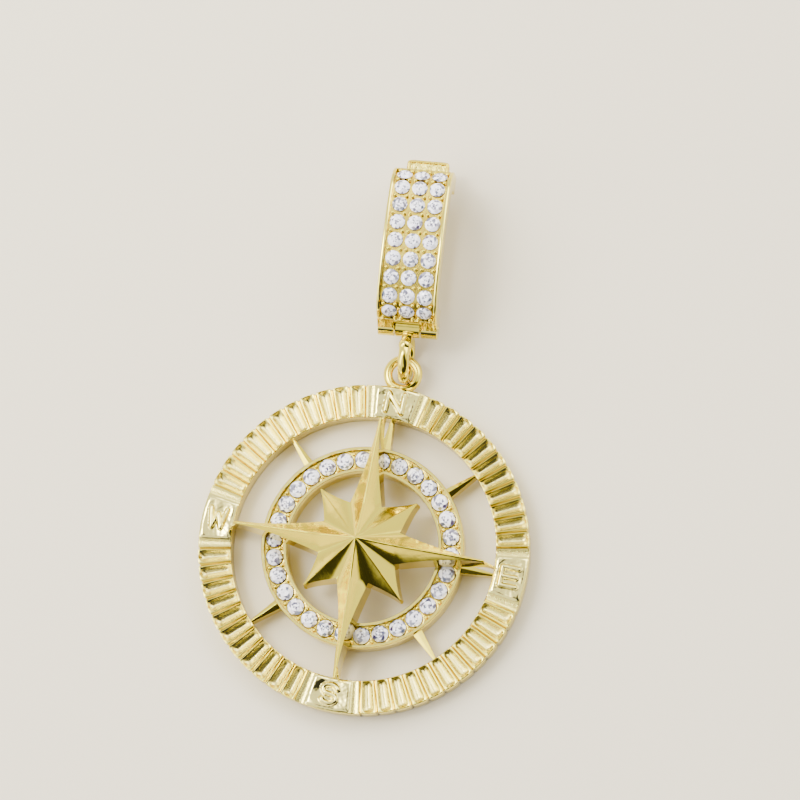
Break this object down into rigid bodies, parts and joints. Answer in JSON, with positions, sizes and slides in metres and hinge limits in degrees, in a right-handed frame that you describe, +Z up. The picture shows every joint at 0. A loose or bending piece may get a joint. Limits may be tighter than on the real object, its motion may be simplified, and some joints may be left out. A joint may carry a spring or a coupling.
{
  "type": "compass pendant",
  "caption": "Gold compass pendant: fluted rim with raised letters, tall pointed star over a ring of pale stones, and a hinged bail set with stones.",
  "frame": {"origin": "middle of the pendant's footprint, on the surface that it lies on", "axes": "+Y from the disc to the bail, along the bail; +Z up, out of the compass's face; +X along the hinge pin"},
  "size_m": [0.028, 0.0476, 0.0074],
  "materials": {
    "gold": "polished pale yellow gold",
    "stone": "faceted, clear"
  },
  "bodies": {
    "pendant": {"compass_disc": "gold", "ring_stones": "stone", "bail_back": "gold", "bail_pin": "gold"},
    "cover": {"bail_front": "gold", "bail_stones": "stone"}
  },
  "joints": [
    {"name": "bail_hinge", "type": "hinge", "parent": "pendant", "child": "cover", "pos_m": [0.0018, 0.00914, 0.0032], "axis": [1, 0, 0], "range_deg": [0, 50]}
  ]
}
